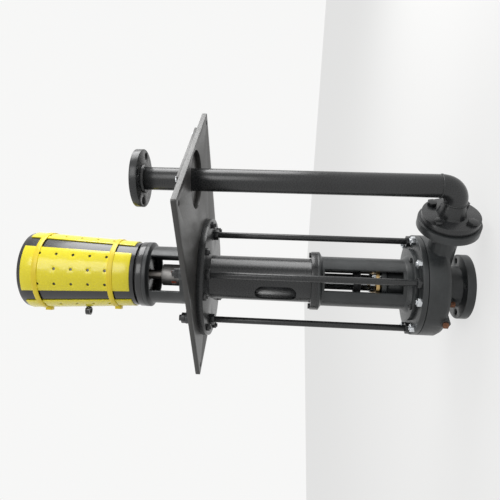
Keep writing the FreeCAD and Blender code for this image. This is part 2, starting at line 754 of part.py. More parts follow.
def tie_rod_nuts():
    """Three nuts on each tie rod: on the bracket boss, under the head flange and on the rear cover."""
    nuts = []
    for low in (z_boss_top, -HEAD_FLANGE_T - ROD_NUT_T, z_cover_top):
        nut = hex_nut(ROD_NUT_AF, ROD_R, low, low + ROD_NUT_T, ROD_CIRCLE_R)
        nuts += ring_of(nut, cross_angles)
    return group(nuts)


def discharge_gasket():
    ring = tube(LINE_BOLT_CIRCLE_R - LINE_BOLT_R - 1.0, NOZZLE_BORE_R + 1.0, 0, GASKET_T)
    return along_x(ring, NOZZLE_FACE_X, z_nozzle)


def weld_neck_flange():
    outline = [(pipe_bore_r, 0), (LINE_FLANGE_R, 0), (LINE_FLANGE_R, LINE_FLANGE_T)]
    outline += [(WELD_NECK_HUB_R, LINE_FLANGE_T), (PIPE_R, WELD_NECK_LENGTH - 8.0)]
    outline += [(PIPE_R, WELD_NECK_LENGTH), (pipe_bore_r, WELD_NECK_LENGTH)]
    return along_x(turned(outline), NOZZLE_FACE_X + GASKET_T, z_nozzle)


def discharge_elbow():
    start_x = pipe_x - ELBOW_BEND_R
    centre = V(start_x, 0, z_nozzle + ELBOW_BEND_R)
    outer = Part.Face(Part.Wire(Part.makeCircle(PIPE_R, V(start_x, 0, z_nozzle), OUT)))
    inner = Part.Face(Part.Wire(Part.makeCircle(pipe_bore_r, V(start_x, 0, z_nozzle), OUT)))
    bend = outer.revolve(centre, V(0, -1, 0), 90)
    return bend.cut(inner.revolve(centre, V(0, -1, 0), 90))


def discharge_pipe():
    low = z_nozzle + ELBOW_BEND_R
    return tube(PIPE_R, pipe_bore_r, low, PIPE_RISE - 2.0, pipe_x)


def outlet_flange():
    low = PIPE_RISE - LINE_FLANGE_T
    outline = [(PIPE_R + FIT, low - OUTLET_HUB_T), (OUTLET_HUB_R, low - OUTLET_HUB_T), (OUTLET_HUB_R, low)]
    outline += [(LINE_FLANGE_R, low), (LINE_FLANGE_R, PIPE_RISE), (PIPE_R + FIT, PIPE_RISE)]
    holes = bolt_circle(FLANGE_HOLE_R, LINE_BOLT_CIRCLE_R, low, PIPE_RISE, cross_angles)
    flange = drilled(turned(outline), holes)
    flange.translate(V(pipe_x, 0, 0))
    return flange


def discharge_flange_bolts():
    """Heads on the weld neck flange and nuts with bolt ends behind the nozzle flange."""
    seat = GASKET_T + LINE_FLANGE_T
    under = -NOZZLE_FLANGE_T
    head = hexagon(LINE_BOLT_AF, seat, seat + HEAD_SHARE * LINE_BOLT_AF, LINE_BOLT_CIRCLE_R)
    nut = upside_down(stud_end(LINE_BOLT_AF, LINE_BOLT_R, under, LINE_BOLT_CIRCLE_R), under)
    shapes = ring_of(head, cross_angles) + ring_of(nut, cross_angles)
    return group([along_x(shape, NOZZLE_FACE_X, z_nozzle) for shape in shapes])


def motor_bracket():
    r_in = BRACKET_R - BRACKET_WALL
    base_top = z_plate_top + BRACKET_BASE_T
    outline = [(r_in, z_plate_top), (BRACKET_BASE_R, z_plate_top), (BRACKET_BASE_R, base_top)]
    outline += [(BRACKET_R, base_top), (BRACKET_R, z_motor - BRACKET_TOP_T - 6.0)]
    outline += [(motor_face_r, z_motor - BRACKET_TOP_T), (motor_face_r, z_motor), (r_in, z_motor)]
    body = turned(outline)
    added = bolt_circle(BRACKET_BOSS_R, ROD_CIRCLE_R, z_plate_top, z_boss_top, cross_angles)
    rib_high = z_boss_top - base_top
    rib = Part.makeBox(ROD_CIRCLE_R - BRACKET_R + 2.0, RIB_T, rib_high, V(BRACKET_R - 2.0, -RIB_T / 2, base_top))
    added += [round_the_shaft(rib, angle) for angle in cross_angles]
    body = body.fuse(added)
    low = z_plate_top + BRACKET_WINDOW_LOW
    cutters = []
    for middle in (WINDOW_AZIMUTH, WINDOW_AZIMUTH + 180.0):
        cutters.append(sector(BRACKET_R + 2.0, low, low + BRACKET_WINDOW_HEIGHT, middle,
                              2 * BRACKET_WINDOW_HALF_ANGLE))
    cutters += bolt_circle(ROD_R + HOLE_CLEARANCE, ROD_CIRCLE_R, z_plate_top, z_boss_top, cross_angles)
    return drilled(body, cutters).removeSplitter()


def bearing_housing():
    r_mid = LOWER_BEARING_R - 4.0
    seat_low = z_lower_bearing + LOWER_BEARING_T
    outline = [(LOWER_BEARING_R, z_housing_low), (HOUSING_R, z_housing_low), (HOUSING_R, z_plate_top)]
    outline += [(HOUSING_FLANGE_R, z_plate_top), (HOUSING_FLANGE_R, z_housing_top)]
    outline += [(UPPER_BEARING_R, z_housing_top), (UPPER_BEARING_R, z_upper_bearing), (r_mid, z_upper_bearing)]
    outline += [(r_mid, seat_low), (LOWER_BEARING_R, seat_low)]
    return turned(outline)


def upper_bearing_cap():
    """A cap over the upper bearing with room for the lock nut under its lip seal."""
    room_r = LOCKNUT_R + LOCKNUT_ROOM
    seal_low = z_cap_top - SEAL_T
    outline = [(room_r, z_housing_top), (HOUSING_R, z_housing_top), (HOUSING_R, z_cap_top)]
    outline += [(SEAL_R + FIT, z_cap_top), (SEAL_R + FIT, seal_low), (room_r, seal_low)]
    return turned(outline)


def lower_bearing_cap():
    """A cap under the lower bearing, bored for its lip seal."""
    low = z_housing_low - CAP_T
    seal_high = low + SEAL_T
    outline = [(SEAL_R + FIT, low), (HOUSING_R, low), (HOUSING_R, z_housing_low)]
    outline += [(SHAFT_R + THROAT_GAP, z_housing_low), (SHAFT_R + THROAT_GAP, seal_high), (SEAL_R + FIT, seal_high)]
    return turned(outline)


def bearing_screws():
    """Screw heads on the housing flange and on both bearing caps."""
    rise = HEAD_SHARE * SMALL_SCREW_AF
    flange_screw = hexagon(FLANGE_SCREW_AF, z_housing_top, z_housing_top + rise, HOUSING_SCREW_CIRCLE_R)
    upper = hexagon(SMALL_SCREW_AF, z_cap_top, z_cap_top + rise, CAP_SCREW_CIRCLE_R)
    z_lower_cap = z_housing_low - CAP_T
    lower = hexagon(SMALL_SCREW_AF, z_lower_cap - rise, z_lower_cap, CAP_SCREW_CIRCLE_R)
    heads = []
    for head in (flange_screw, upper, lower):
        heads += ring_of(head, cross_angles)
    return group(heads)


def shaft_seals():
    """A lip seal in each bearing cap."""
    low = z_housing_low - CAP_T
    upper = tube(SEAL_R, BEARING_SEAT_R + RUN_FIT, z_cap_top - SEAL_T, z_cap_top)
    lower = tube(SEAL_R, SHAFT_R + RUN_FIT, low, low + SEAL_T - FIT)
    return group([upper, lower])


def pitch_radius(bearing_r):
    """The circle on which a bearing's roller centres run."""
    return (bearing_r + BEARING_SEAT_R) / 2


def roller_track(bearing_r, roller_r, side):
    """Radius of the surface that the rollers run on: side is 1 for the outer ring, -1 for the inner."""
    return pitch_radius(bearing_r) + side * (roller_r + RUN_FIT)


def outer_race(bearing_r, roller_r, z_low, width):
    """The fixed ring, with a lip at each end that keeps the rollers in."""
    r_back = bearing_r - FIT
    r_track = roller_track(bearing_r, roller_r, 1)
    r_lip = r_track - RACE_LIP_RISE
    track_low = z_low + RACE_LIP_T
    track_high = z_low + width - RACE_LIP_T
    outline = [(r_back, z_low), (r_lip, z_low), (r_lip, track_low), (r_track, track_low)]
    outline += [(r_track, track_high), (r_lip, track_high), (r_lip, z_low + width), (r_back, z_low + width)]
    return turned(outline)


def inner_race(bearing_r, roller_r, z_low, width):
    """The plain ring on the shaft."""
    return tube(roller_track(bearing_r, roller_r, -1), BEARING_SEAT_R, z_low, z_low + width)


def roller_row(bearing_r, roller_r, z_low, width):
    inset = RACE_LIP_T + RUN_FIT
    roller = prism(ROLLER_SIDES, roller_r, z_low + inset, z_low + width - inset, pitch_radius(bearing_r))
    return group(polar(roller, ROLLER_COUNT))


def bearing_locknut():
    return tube(LOCKNUT_R, BEARING_SEAT_R, z_housing_top, z_housing_top + LOCKNUT_T)


def pump_shaft():
    """The stepped shaft: impeller seat, sleeve seat, full body, bearing seats and coupling stub."""
    nut_depth = IMPELLER_NUT_T - IMPELLER_NUT_CROWN
    end = z_impeller_hub_low - nut_depth
    outline = [(0, end), (THREAD_END_R, end), (THREAD_END_R, z_impeller_hub_low)]
    outline += [(IMPELLER_SEAT_R, z_impeller_hub_low), (IMPELLER_SEAT_R, z_impeller_top)]
    outline += [(SLEEVE_SEAT_R, z_impeller_top), (SLEEVE_SEAT_R, z_sleeve_top), (SHAFT_R, z_sleeve_top)]
    outline += [(SHAFT_R, z_lower_bearing), (BEARING_SEAT_R, z_lower_bearing), (BEARING_SEAT_R, z_stub_low)]
    outline += [(STUB_R, z_stub_low), (STUB_R, z_stub_top), (0, z_stub_top)]
    return turned(outline)


def shaft_sleeve():
    return tube(SLEEVE_R, SLEEVE_SEAT_R, z_impeller_top, z_sleeve_top)


def vane():
    """One backward-curved vane: two logarithmic spirals joined at root and tip."""
    top = z_impeller_top - IMPELLER_SHROUD_T
    low = z_chamber_low + WEAR_PLATE_T + WEAR_PLATE_GAP
    sides = []
    for root_lead, tip_lead in ((0.0, 0.0), (VANE_ROOT_LEAD, VANE_TIP_LEAD)):
        points = []
        for k in range(VANE_STEPS + 1):
            share = k / VANE_STEPS
            radius = VANE_INNER_R + (IMPELLER_R - VANE_INNER_R) * share
            turn = math.log(radius / VANE_INNER_R) / math.tan(math.radians(VANE_ANGLE))
            turn += math.radians(root_lead + (tip_lead - root_lead) * share)
            points.append(V(radius * math.cos(turn), radius * math.sin(turn), top))
        sides.append(points)
    edges = []
    for points in sides:
        curve = Part.BSplineCurve()
        curve.interpolate(points)
        edges.append(curve.toShape())
    edges.append(Part.LineSegment(sides[0][0], sides[1][0]).toShape())
    edges.append(Part.LineSegment(sides[0][-1], sides[1][-1]).toShape())
    wire = Part.Wire(Part.__sortEdges__(edges))
    return Part.Face(wire).extrude(V(0, 0, low - top))


def impeller():
    """A semi-open impeller: back shroud, hub and backward-curved vanes."""
    top = z_impeller_top
    shroud = tube(IMPELLER_R, IMPELLER_SEAT_R, top - IMPELLER_SHROUD_T, top)
    hub = tube(IMPELLER_HUB_R, IMPELLER_SEAT_R, z_impeller_hub_low, top)
    return shroud.fuse([hub] + polar(vane(), VANE_COUNT)).removeSplitter()


def impeller_nut():
    """A domed nut that closes the shaft's end."""
    top = z_impeller_hub_low
    low = top - IMPELLER_NUT_T
    floor = low + IMPELLER_NUT_CROWN
    outline = [(THREAD_END_R, top), (IMPELLER_NUT_R, top), (IMPELLER_NUT_R, top - IMPELLER_NUT_T / 2)]
    outline += [(IMPELLER_NUT_WAIST * IMPELLER_NUT_R, low + IMPELLER_NUT_EDGE)]
    outline += [(IMPELLER_NUT_TIP * IMPELLER_NUT_R, low), (0, low), (0, floor), (THREAD_END_R, floor)]
    return turned(outline)


def slinger():
    """A flinger disc on a short hub, clamped to the shaft above the gland."""
    low = z_sleeve_top + SLINGER_LIFT
    hub_r = SHAFT_R + SLINGER_HUB_WALL
    hub_top = low + SLINGER_HUB_LENGTH
    outline = [(SHAFT_R, low), (SLINGER_R, low), (SLINGER_R, low + SLINGER_T / 3)]
    outline += [(hub_r, low + SLINGER_T), (hub_r, hub_top), (SHAFT_R, hub_top)]
    return turned(outline)


def coupling_jaws(z_low, start):
    jaw_ring = tube(COUPLING_R, SPIDER_EYE_R + 5.0, z_low, z_low + JAW_T)
    jaws = []
    for k in range(JAW_COUNT):
        middle = start + 360.0 * k / JAW_COUNT
        jaws.append(jaw_ring.common(sector(COUPLING_R + 1.0, z_low, z_low + JAW_T, middle, JAW_ANGLE)))
    return jaws


def pump_coupling_hub():
    hub = tube(COUPLING_R, STUB_R, z_coupling, z_jaws)
    return hub.fuse(coupling_jaws(z_jaws, 0.0)).removeSplitter()


def motor_coupling_hub():
    low = z_jaws + JAW_T
    hub = tube(COUPLING_R, MOTOR_SHAFT_R, low, low + COUPLING_HUB_T)
    return hub.fuse(coupling_jaws(z_jaws, 180.0 / JAW_COUNT)).removeSplitter()


def coupling_spider():
    low = z_jaws + 0.5
    high = z_jaws + JAW_T - 0.5
    star = rod(SPIDER_EYE_R + 4.5, low, high)
    lobe_angle = 180.0 / JAW_COUNT - JAW_ANGLE - 1.0
    arms = []
    for k in range(2 * JAW_COUNT):
        middle = 180.0 / JAW_COUNT * (k + 0.5)
        arms.append(sector(COUPLING_R - 1.0, low, high, middle, lobe_angle))
    return star.fuse(arms).removeSplitter().cut(rod(SPIDER_EYE_R / 2, low, high))


def cowl_radius(z):
    """Outside radius of the tapering cowl at a height."""
    share = (z - z_cowl_low) / (z_motor_top - z_cowl_low)
    return cowl_r_low + (cowl_r_high - cowl_r_low) * share


def cone_shell(z_low, z_high, lift, thickness):
    """A band that follows the cowl's taper, lifted off its surface."""
    height = z_high - z_low
    r_low = cowl_radius(z_low) + lift
    r_high = cowl_radius(z_high) + lift
    outer = Part.makeCone(r_low + thickness, r_high + thickness, height, V(0, 0, z_low))
    return outer.cut(Part.makeCone(r_low, r_high, height, V(0, 0, z_low)))


def radial_bar(radius, r_start, r_end, z, azimuth):
    bar = Part.makeCylinder(radius, r_end - r_start, V(r_start, 0, z), OUT)
    return round_the_shaft(bar, azimuth)


def drive_end_bell():
    """The flanged end of the motor, with the seat of its drive end bearing."""
    top = z_motor + END_BELL_T
    eye_r = MOTOR_SHAFT_R + BELL_EYE_GAP
    outline = [(eye_r, z_motor), (motor_face_r, z_motor), (motor_face_r, z_motor + BELL_LIP_T)]
    outline += [(MOTOR_FRAME_R, top), (MOTOR_BEARING_R, top), (MOTOR_BEARING_R, z_drive_bearing)]
    outline += [(eye_r, z_drive_bearing)]
    return turned(outline)


def fan_end_bell():
    """The domed end of the motor under its fan."""
    top = z_fan_bell + FAN_BELL_T
    seat_top = top - FAN_BELL_WEB_T
    eye_r = MOTOR_JOURNAL_R + BELL_EYE_GAP
    outline = [(MOTOR_BEARING_R, z_fan_bell), (MOTOR_FRAME_R, z_fan_bell)]
    outline += [(MOTOR_BEARING_R + BELL_LIP_T, top), (eye_r, top), (eye_r, seat_top), (MOTOR_BEARING_R, seat_top)]
    return turned(outline)


def motor_frame():
    """The finned barrel of the motor, with a boss for the lifting eye."""
    barrel = tube(MOTOR_FRAME_R, MOTOR_FRAME_R - MOTOR_FRAME_WALL, z_motor + END_BELL_T, z_fan_bell)
    root = MOTOR_FRAME_R - MOTOR_FRAME_WALL / 2
    fin_length = MOTOR_FRAME_LENGTH - 2 * FIN_INSET
    fin = Part.makeBox(MOTOR_FRAME_R + FIN_RISE - root, FIN_T, fin_length,
                       V(root, -FIN_T / 2, z_motor + END_BELL_T + FIN_INSET))
    fins = polar(fin, FIN_COUNT, EYE_AZIMUTH + 180.0 / FIN_COUNT)
    boss = radial_bar(2 * EYE_SHANK_R, root, MOTOR_FRAME_R + FIN_RISE, z_eye, EYE_AZIMUTH)
    drill = radial_bar(EYE_SHANK_R + FIT, MOTOR_FRAME_R, MOTOR_FRAME_R + FIN_RISE, z_eye, EYE_AZIMUTH)
    return barrel.fuse(fins + [boss]).cut(drill).removeSplitter()


def stator():
    """The laminated core with its end windings drawn as tapered collars."""
    r_out = MOTOR_FRAME_R - MOTOR_FRAME_WALL - FIT
    half_core = STATOR_LENGTH / 2
    half = half_core + WINDING_T
    winding_r = (r_out + STATOR_BORE_R) / 2
    outline = [(STATOR_BORE_R, z_motor_middle - half), (winding_r, z_motor_middle - half)]
    outline += [(r_out, z_motor_middle - half_core), (r_out, z_motor_middle + half_core)]
    outline += [(winding_r, z_motor_middle + half), (STATOR_BORE_R, z_motor_middle + half)]
    return turned(outline)


def motor_bearing_rings(r_out, r_in):
    """Bearing rings at the drive end and the fan end of the motor."""
    return group([tube(r_out, r_in, z, z + MOTOR_BEARING_T) for z in (z_drive_bearing, z_fan_bearing)])


def motor_bearing_outer_rings():
    return motor_bearing_rings(MOTOR_BEARING_R - FIT, MOTOR_RING_SPLIT_R + RUN_FIT)


def motor_bearing_inner_rings():
    return motor_bearing_rings(MOTOR_RING_SPLIT_R, MOTOR_JOURNAL_R)


def motor_rotor():
    """The motor shaft with its core, journals and fan stub in one piece."""
    core_r = STATOR_BORE_R - AIR_GAP
    core_low = z_motor_middle - STATOR_LENGTH / 2
    core_high = z_motor_middle + STATOR_LENGTH / 2
    fan_journal_top = z_fan_bearing + MOTOR_BEARING_T
    low = z_jaws + JAW_T + SHAFT_INSET
    top = fan_journal_top + FAN_STUB
    outline = [(0, low), (MOTOR_SHAFT_R, low), (MOTOR_SHAFT_R, z_drive_bearing)]
    outline += [(MOTOR_JOURNAL_R, z_drive_bearing), (MOTOR_JOURNAL_R, core_low), (core_r, core_low)]
    outline += [(core_r, core_high), (MOTOR_JOURNAL_R, core_high), (MOTOR_JOURNAL_R, fan_journal_top)]
    outline += [(MOTOR_SHAFT_R, fan_journal_top), (MOTOR_SHAFT_R, top), (0, top)]
    return turned(outline)


def cooling_fan():
    """A radial fan: disc, hub and straight blades that work in both directions."""
    low = z_fan_bearing + MOTOR_BEARING_T + FAN_LIFT
    hub = tube(FAN_HUB_R, MOTOR_SHAFT_R, low, low + FAN_T)
    disc = tube(fan_r, MOTOR_SHAFT_R, low, low + FAN_DISC_T)
    root = FAN_HUB_R - 1
    blade = Part.makeBox(fan_r - root, FAN_DISC_T, FAN_T, V(root, -FAN_DISC_T / 2, low))
    return hub.fuse([disc] + polar(blade, FAN_BLADES)).removeSplitter()


def motor_cowl():
    """The tapering sheet cowl: closed over the fan by a slotted end, held on the frame by a ring."""
    shell = cone_shell(z_cowl_low, z_motor_top, -COWL_WALL, COWL_WALL)
    end = rod(cowl_radius(z_motor_top) - COWL_WALL / 2, z_motor_top - COWL_WALL, z_motor_top)
    ring_top = z_cowl_low + COWL_RING_T
    ring = tube(cowl_radius(z_cowl_low) - COWL_WALL / 2, MOTOR_FRAME_R + FIT, z_cowl_low, ring_top)
    slot = Part.makeBox(GRILLE_SLOT_LENGTH, GRILLE_SLOT_W, 2 * COWL_WALL,
                        V(GRILLE_EYE_R, -GRILLE_SLOT_W / 2, z_motor_top - 2 * COWL_WALL))
    cutters = polar(slot, GRILLE_SLOTS)
    cutters.append(eye_passage())
    return drilled(shell.fuse([end, ring]).removeSplitter(), cutters)


def eye_passage():
    """Room for the lifting eye's shank through cowl and jacket."""
    return radial_bar(EYE_SHANK_R + HOLE_CLEARANCE, MOTOR_FRAME_R, cowl_r_high + 2 * PANEL_T, z_eye, EYE_AZIMUTH)


def panel_punch():
    """One panel's grid of few-sided holes, as bars along +X.  The middle row starts one hole later."""
    middle_row = PANEL_HOLE_ROWS // 2
    bars = []
    for column in range(PANEL_HOLE_COLUMNS):
        z = z_motor_top - PANEL_HOLE_TOP - column * PANEL_HOLE_PITCH
        bar = along_x(prism(PANEL_HOLE_SIDES, PANEL_HOLE_R, MOTOR_FRAME_R, cowl_r_high + 2 * PANEL_T), 0, z)
        for row in range(PANEL_HOLE_ROWS):
            if column > 0 or row != middle_row:
                bars.append(round_the_shaft(bar, PANEL_ROW_ANGLE * (row - middle_row)))
    return bars


def jacket_panels():
    """Four perforated panels that follow the cowl's taper."""
    low = z_cowl_low + PANEL_INSET
    high = z_motor_top - PANEL_INSET
    band = cone_shell(low, high, PANEL_SEAT_GAP, PANEL_T)
    panel = band.common(sector(cowl_r_high + 2 * PANEL_T, low, high, 0.0, PANEL_ANGLE))
    panel = drilled(panel, panel_punch())
    return group([side.cut(eye_passage()) for side in polar(panel, PANEL_COUNT, PANEL_START)])


def jacket_straps():
    """Two bands round the jacket, each with a buckle."""
    solids = []
    lift = 2 * PANEL_SEAT_GAP + PANEL_T
    for drop in (STRAP_UPPER_DROP, STRAP_LOWER_DROP):
        low = z_motor_top - drop - STRAP_W / 2
        strap = cone_shell(low, low + STRAP_W, lift, STRAP_T)
        root = cowl_radius(low) + lift + STRAP_T / 2
        reach = cowl_radius(low + STRAP_W) + lift + STRAP_T + BUCKLE_T
        buckle_low = low - BUCKLE_OVERHANG
        buckle = Part.makeBox(reach - root, BUCKLE_LENGTH, STRAP_W + 2 * BUCKLE_OVERHANG,
                              V(root, -BUCKLE_LENGTH / 2, buckle_low))
        clear = cone_shell(buckle_low, low + STRAP_W + BUCKLE_OVERHANG, -COWL_WALL, COWL_WALL + lift)
        buckle = buckle.cut(clear)
        solids.append(strap.fuse(round_the_shaft(buckle, BUCKLE_AZIMUTH)).removeSplitter())
    return group(solids)


def lifting_eye():
    """A lug with a rounded top and an eye, on a collar and a shank into the motor frame."""
    seat = cowl_radius(z_eye + EYE_COLLAR_R) + 2 * PANEL_SEAT_GAP + PANEL_T
    collar_end = seat + EYE_COLLAR_T
    collar = radial_bar(EYE_COLLAR_R, seat, collar_end, z_eye, 0)
    shank = radial_bar(EYE_SHANK_R, MOTOR_FRAME_R, seat, z_eye, 0)
    eye_x = collar_end + EYE_HOLE_R
    z_low = z_eye - EYE_LUG_T / 2
    head = rod(EYE_LUG_R, z_low, z_low + EYE_LUG_T, eye_x)
    sill = Part.makeBox(2 * EYE_LUG_R, 2 * EYE_LUG_R, EYE_LUG_T, V(collar_end, -EYE_LUG_R, z_low))
    lug = head.common(sill).cut(rod(EYE_HOLE_R, z_low, z_low + EYE_LUG_T, eye_x + EYE_LIFT))
    return round_the_shaft(lug.fuse([collar, shank]).removeSplitter(), EYE_AZIMUTH)


save("support_plate", support_plate())
save("pipe_cover_plates", pipe_cover_plates())
save("cover_plate_screws", cover_plate_screws())
save("column_pipe", column_pipe())
save("head_flange_bolts", head_flange_bolts())
save("column_joint_bolts", column_joint_bolts())
save("lower_frame", lower_frame())
save("frame_foot_screws", frame_foot_screws())
save("rear_cover", rear_cover())
save("stuffing_box", stuffing_box())
save("packing_rings", packing_rings())
save("lantern_ring", lantern_ring())
save("gland", gland())
save("gland_studs", gland_studs())
save("volute_casing", volute_casing())
save("casing_gasket", casing_gasket())
save("casing_nuts", casing_nuts())
save("wear_plate", wear_plate())
save("drain_plugs", drain_plugs())
save("tie_rods", tie_rods())
save("tie_rod_nuts", tie_rod_nuts())
save("discharge_gasket", discharge_gasket())
save("weld_neck_flange", weld_neck_flange())
save("discharge_elbow", discharge_elbow())
save("discharge_pipe", discharge_pipe())
save("outlet_flange", outlet_flange())
save("discharge_flange_bolts", discharge_flange_bolts())
save("motor_bracket", motor_bracket())
save("bearing_housing", bearing_housing())
save("upper_bearing_cap", upper_bearing_cap())
save("lower_bearing_cap", lower_bearing_cap())
save("bearing_screws", bearing_screws())
save("shaft_seals", shaft_seals())
save("upper_outer_race", outer_race(UPPER_BEARING_R, UPPER_ROLLER_R, z_upper_bearing, UPPER_BEARING_T))
save("upper_inner_race", inner_race(UPPER_BEARING_R, UPPER_ROLLER_R, z_upper_bearing, UPPER_BEARING_T))
save("upper_rollers", roller_row(UPPER_BEARING_R, UPPER_ROLLER_R, z_upper_bearing, UPPER_BEARING_T))
save("lower_outer_race", outer_race(LOWER_BEARING_R, LOWER_ROLLER_R, z_lower_bearing, LOWER_BEARING_T))
save("lower_inner_race", inner_race(LOWER_BEARING_R, LOWER_ROLLER_R, z_lower_bearing, LOWER_BEARING_T))
save("lower_rollers", roller_row(LOWER_BEARING_R, LOWER_ROLLER_R, z_lower_bearing, LOWER_BEARING_T))
save("bearing_locknut", bearing_locknut())
save("pump_shaft", pump_shaft())
save("shaft_sleeve", shaft_sleeve())
save("impeller", impeller())
save("impeller_nut", impeller_nut())
save("slinger", slinger())
save("pump_coupling_hub", pump_coupling_hub())
save("coupling_spider", coupling_spider())
save("motor_coupling_hub", motor_coupling_hub())
save("drive_end_bell", drive_end_bell())
save("fan_end_bell", fan_end_bell())
save("motor_frame", motor_frame())
save("stator", stator())
save("motor_bearing_outer_rings", motor_bearing_outer_rings())
save("motor_bearing_inner_rings", motor_bearing_inner_rings())
save("motor_rotor", motor_rotor())
save("cooling_fan", cooling_fan())
save("motor_cowl", motor_cowl())
save("jacket_panels", jacket_panels())
save("jacket_straps", jacket_straps())
save("lifting_eye", lifting_eye())
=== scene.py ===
# %% [markdown]
# # A cantilever slurry pump, dressed in Blender
#
# The object is a vertical slurry pump: a motor on top, a support plate that sits on a pit, a column
# under it, and at the bottom a cast volute that throws slurry out through a pipe at its side.
# The solids come from a CAD model, already in place and in metres.  This lesson gives them their
# paint, metal and rubber, softens their edges, and adds what is better made as a mesh: weld beads,
# and chamfered nuts with the threaded end of their stud.

# %% Load the CAD model as a fixed frame
import math

import bmesh
import bpy
from mathutils import Matrix, Vector


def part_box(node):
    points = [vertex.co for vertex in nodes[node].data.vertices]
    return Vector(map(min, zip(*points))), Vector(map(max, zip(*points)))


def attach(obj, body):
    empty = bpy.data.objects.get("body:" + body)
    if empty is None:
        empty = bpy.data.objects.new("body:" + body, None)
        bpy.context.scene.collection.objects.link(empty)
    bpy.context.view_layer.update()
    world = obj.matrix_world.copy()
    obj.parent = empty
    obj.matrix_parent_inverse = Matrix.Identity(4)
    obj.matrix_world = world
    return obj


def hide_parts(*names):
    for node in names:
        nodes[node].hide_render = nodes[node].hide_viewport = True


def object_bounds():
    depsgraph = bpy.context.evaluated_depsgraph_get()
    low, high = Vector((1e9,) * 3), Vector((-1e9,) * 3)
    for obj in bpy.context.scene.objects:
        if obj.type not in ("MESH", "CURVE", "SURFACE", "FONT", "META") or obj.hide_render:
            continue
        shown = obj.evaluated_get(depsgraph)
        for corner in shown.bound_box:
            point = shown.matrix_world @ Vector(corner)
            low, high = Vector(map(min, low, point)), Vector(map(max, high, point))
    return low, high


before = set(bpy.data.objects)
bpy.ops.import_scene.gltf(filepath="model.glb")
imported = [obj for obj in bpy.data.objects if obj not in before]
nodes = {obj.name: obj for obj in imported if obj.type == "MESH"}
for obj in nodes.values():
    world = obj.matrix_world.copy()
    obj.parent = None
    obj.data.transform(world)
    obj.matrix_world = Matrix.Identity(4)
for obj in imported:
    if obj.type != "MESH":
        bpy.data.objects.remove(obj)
bpy.context.view_layer.update()
cad_low, cad_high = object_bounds()
print("CAD box from", tuple(round(v, 4) for v in cad_low), "to", tuple(round(v, 4) for v in cad_high))

# %% [markdown]
# ## The camera
#
# The pump is modelled upright, but it is seen lying on its side, as it is shipped.  Rather than
# turning the model, the camera is rolled: its own right-hand side points down the shaft line, so
# the motor comes out on the left and the volute on the right.  A camera's matrix holds its right,
# up and backward directions as columns, so three directions and a place are all it needs.

# %% Place and roll the camera
CAMERA_PLACE = Vector((1.0107, -1.0896, -0.2408))
CAMERA_RIGHT = Vector((-0.0186, 0.0793, -0.9967)).normalized()
CAMERA_UP = Vector((0.7726, 0.6339, 0.0360))
LENS_MM = 34.81
SENSOR_MM = 36.0

backward = CAMERA_RIGHT.cross(CAMERA_UP).normalized()
upward = backward.cross(CAMERA_RIGHT)
camera = bpy.data.objects.new("camera", bpy.data.cameras.new("camera"))
bpy.context.scene.collection.objects.link(camera)
turn = Matrix((CAMERA_RIGHT, upward, backward)).transposed()
camera.matrix_world = Matrix.Translation(CAMERA_PLACE) @ turn.to_4x4()
camera.data.sensor_width = SENSOR_MM
camera.data.lens = LENS_MM
camera.data.clip_start = 0.05
bpy.context.scene.camera = camera
print("camera looks along", tuple(round(v, 3) for v in -backward))

# %% [markdown]
# ## Studio: a pale floor, a pale room and three soft lamps
#
# A studio shot of a dark machine lives from what its paint reflects.  The room is white where the
# camera or a reflection sees it, and dimmer where it only lights, which keeps dark enamel dark.
# The floor mixes that white with a plain pale paint, so it still catches a soft shadow.  The
# strongest lamp hangs over the side of the pump that is uppermost when it lies down, and draws the
# long highlights on its tubes.

# %% World: dim as a light, white to the camera
SCENE = bpy.context.scene
SCENE.view_settings.view_transform = "Standard"
ROOM_LIGHT = 0.30
STUDIO_WHITE = (0.93, 0.93, 0.925, 1.0)


def seen_or_reflected(tree):
    """A value that is 1 for rays from the camera, from gloss and through glass."""
    path = tree.nodes.new("ShaderNodeLightPath")
    either = tree.nodes.new("ShaderNodeMath")
    either.operation = "MAXIMUM"
    any_of = tree.nodes.new("ShaderNodeMath")
    any_of.operation = "MAXIMUM"
    tree.links.new(path.outputs["Is Camera Ray"], either.inputs[0])
    tree.links.new(path.outputs["Is Glossy Ray"], either.inputs[1])
    tree.links.new(either.outputs[0], any_of.inputs[0])
    tree.links.new(path.outputs["Is Transmission Ray"], any_of.inputs[1])
    return any_of.outputs[0]


room = bpy.data.worlds.new("white_room")
room.use_nodes = True
SCENE.world = room
room_nodes = room.node_tree.nodes
room_nodes.clear()
dim = room_nodes.new("ShaderNodeBackground")
dim.inputs["Color"].default_value = (1.0, 1.0, 1.0, 1.0)
dim.inputs["Strength"].default_value = ROOM_LIGHT
white = room_nodes.new("ShaderNodeBackground")
white.inputs["Color"].default_value = STUDIO_WHITE
white.inputs["Strength"].default_value = 1.0
choice = room_nodes.new("ShaderNodeMixShader")
world_out = room_nodes.new("ShaderNodeOutputWorld")
room.node_tree.links.new(seen_or_reflected(room.node_tree), choice.inputs["Fac"])
room.node_tree.links.new(dim.outputs[0], choice.inputs[1])
room.node_tree.links.new(white.outputs[0], choice.inputs[2])
room.node_tree.links.new(choice.outputs[0], world_out.inputs["Surface"])
print("room light", ROOM_LIGHT)

# %% A pale floor under the suction flange
FLOOR_DROP = 0.0005
FLOOR_HALF = 8.0
FLOOR_WHITENESS = 0.72
floor_height = cad_low.z - FLOOR_DROP
floor_mesh = bpy.data.meshes.new("floor")
floor_corners = []
for x, y in ((-1, -1), (1, -1), (1, 1), (-1, 1)):
    floor_corners.append((x * FLOOR_HALF, y * FLOOR_HALF, floor_height))
floor_mesh.from_pydata(floor_corners, [], [(0, 1, 2, 3)])
floor = bpy.data.objects.new("floor", floor_mesh)
SCENE.collection.objects.link(floor)

